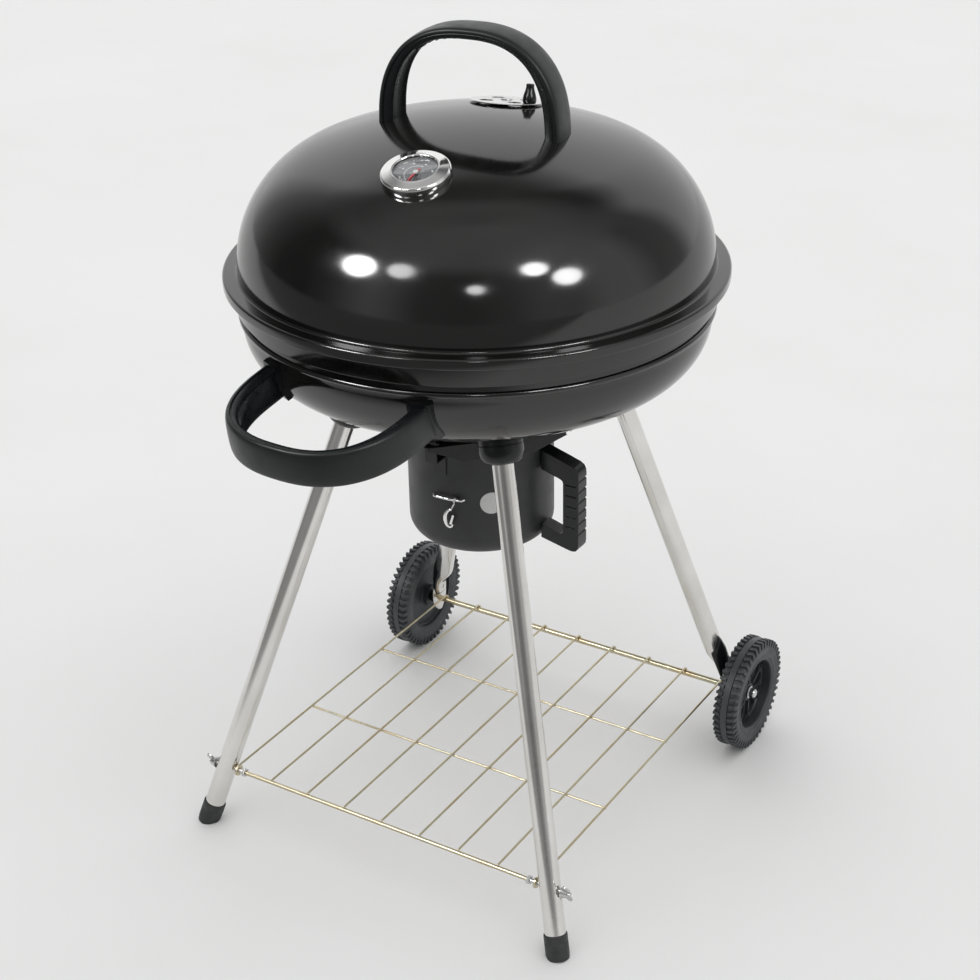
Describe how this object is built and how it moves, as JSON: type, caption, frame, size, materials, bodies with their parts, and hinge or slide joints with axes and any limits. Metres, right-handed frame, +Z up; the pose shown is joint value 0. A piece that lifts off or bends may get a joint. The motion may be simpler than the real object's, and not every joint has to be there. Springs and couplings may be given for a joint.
{
  "type": "kettle charcoal grill",
  "caption": "Round enamelled kettle grill on splayed tube legs with two wheels, loop handles, wire rack, lid thermometer and vent, and a hanging ash pot.",
  "frame": {"origin": "centre of the whole grill's footprint box, on the floor plane through the front foot caps and the wheels", "axes": "+Z up; +X along the wheel axle, to the ash pot's handle side; +Y from the front handle to the wheels at the back"},
  "size_m": [0.5839, 0.708, 0.9963],
  "materials": {
    "black_enamel": "gloss",
    "handle_nylon": "satin",
    "black_nylon": "satin",
    "leg_stainless": "polished",
    "foot_rubber": "matt",
    "rack_plate": "yellow zinc plate",
    "zinc_hardware": "zinc plate",
    "wheel_plastic": "satin",
    "tyre_plastic": "matt",
    "matt_black": "matt",
    "galvanised": "galvanised",
    "bright_chrome": "mirror",
    "white_label": "satin",
    "grate_plate": "plated",
    "dial_face": "matt",
    "clear_glass": "clear",
    "needle_red": "gloss",
    "vent_steel": "satin"
  },
  "bodies": {
    "stand": {"bowl": "black_enamel", "bowl_handle": "handle_nylon", "bowl_handle_spacers": "black_nylon", "bowl_handle_screws": "zinc_hardware", "grate_supports": "black_enamel", "leg_front_right": "leg_stainless", "leg_front_left": "leg_stainless", "leg_rear_right": "leg_stainless", "leg_rear_left": "leg_stainless", "socket_front_right": "black_nylon", "socket_front_left": "black_nylon", "socket_rear_right": "black_nylon", "socket_rear_left": "black_nylon", "foot_cap_right": "foot_rubber", "foot_cap_left": "foot_rubber", "wire_rack": "rack_plate", "rack_bolts": "zinc_hardware", "rack_wing_nuts": "zinc_hardware", "axle": "zinc_hardware", "axle_spacers": "wheel_plastic", "axle_cap_nuts": "zinc_hardware", "hanger_plate": "matt_black", "hanger_screws": "zinc_hardware", "outlet_ring": "galvanised"},
    "wheel_left": {"rim_left": "wheel_plastic", "tyre_left": "tyre_plastic"},
    "wheel_right": {"rim_right": "wheel_plastic", "tyre_right": "tyre_plastic"},
    "ash_pot": {"ash_pot": "matt_black", "ash_pot_handle": "black_nylon", "ash_pot_handle_screws": "zinc_hardware", "ash_pot_tongues": "matt_black", "ash_pot_bar": "bright_chrome", "ash_pot_label": "white_label"},
    "ash_pot_hook": {"ash_pot_hook": "bright_chrome"},
    "charcoal_grate": {"charcoal_grate": "grate_plate"},
    "cooking_grate": {"cooking_grate": "grate_plate"},
    "lid": {"lid_shell": "black_enamel", "lid_handle": "handle_nylon", "lid_handle_screws": "zinc_hardware", "thermometer_bezel": "bright_chrome", "thermometer_dial": "dial_face", "thermometer_glass": "clear_glass", "thermometer_stem": "zinc_hardware", "thermometer_nut": "zinc_hardware", "vent_rivet": "zinc_hardware"},
    "thermometer_needle": {"thermometer_needle": "needle_red"},
    "lid_vent": {"vent_disc": "vent_steel", "vent_knob": "black_nylon"}
  },
  "joints": [
    {"name": "lid_lift", "type": "slide", "parent": "stand", "child": "lid", "axis": [0, 0, 1], "range_m": [0, 0.3]},
    {"name": "lid_vent_turn", "type": "hinge", "parent": "lid", "child": "lid_vent", "pos_m": [-0.01943, 0.13575, 0.88065], "axis": [-0.0349, 0.184, 0.9823], "range_deg": [0, 45]},
    {"name": "thermometer_needle_turn", "type": "hinge", "parent": "lid", "child": "thermometer_needle", "pos_m": [0.02088, -0.11508, 0.86987], "axis": [-0.0375, 0.2672, -0.9629], "range_deg": [0, 270]},
    {"name": "wheel_left_spin", "type": "hinge", "parent": "stand", "child": "wheel_left", "pos_m": [0, 0.27826, 0.0755], "axis": [1, 0, 0], "continuous": true},
    {"name": "wheel_right_spin", "type": "hinge", "parent": "stand", "child": "wheel_right", "pos_m": [0, 0.27826, 0.0755], "axis": [1, 0, 0], "continuous": true},
    {"name": "ash_pot_drop", "type": "slide", "parent": "stand", "child": "ash_pot", "axis": [0, 0, -1], "range_m": [0, 0.15]},
    {"name": "ash_pot_hook_swing", "type": "hinge", "parent": "ash_pot", "child": "ash_pot_hook", "pos_m": [0.0179, -0.05862, 0.457], "axis": [-0.9816, -0.1908, 0], "range_deg": [0, 60]},
    {"name": "cooking_grate_lift", "type": "slide", "parent": "stand", "child": "cooking_grate", "axis": [0, 0, 1], "range_m": [0, 0.06]},
    {"name": "charcoal_grate_lift", "type": "slide", "parent": "stand", "child": "charcoal_grate", "axis": [0, 0, 1], "range_m": [0, 0.08]}
  ]
}
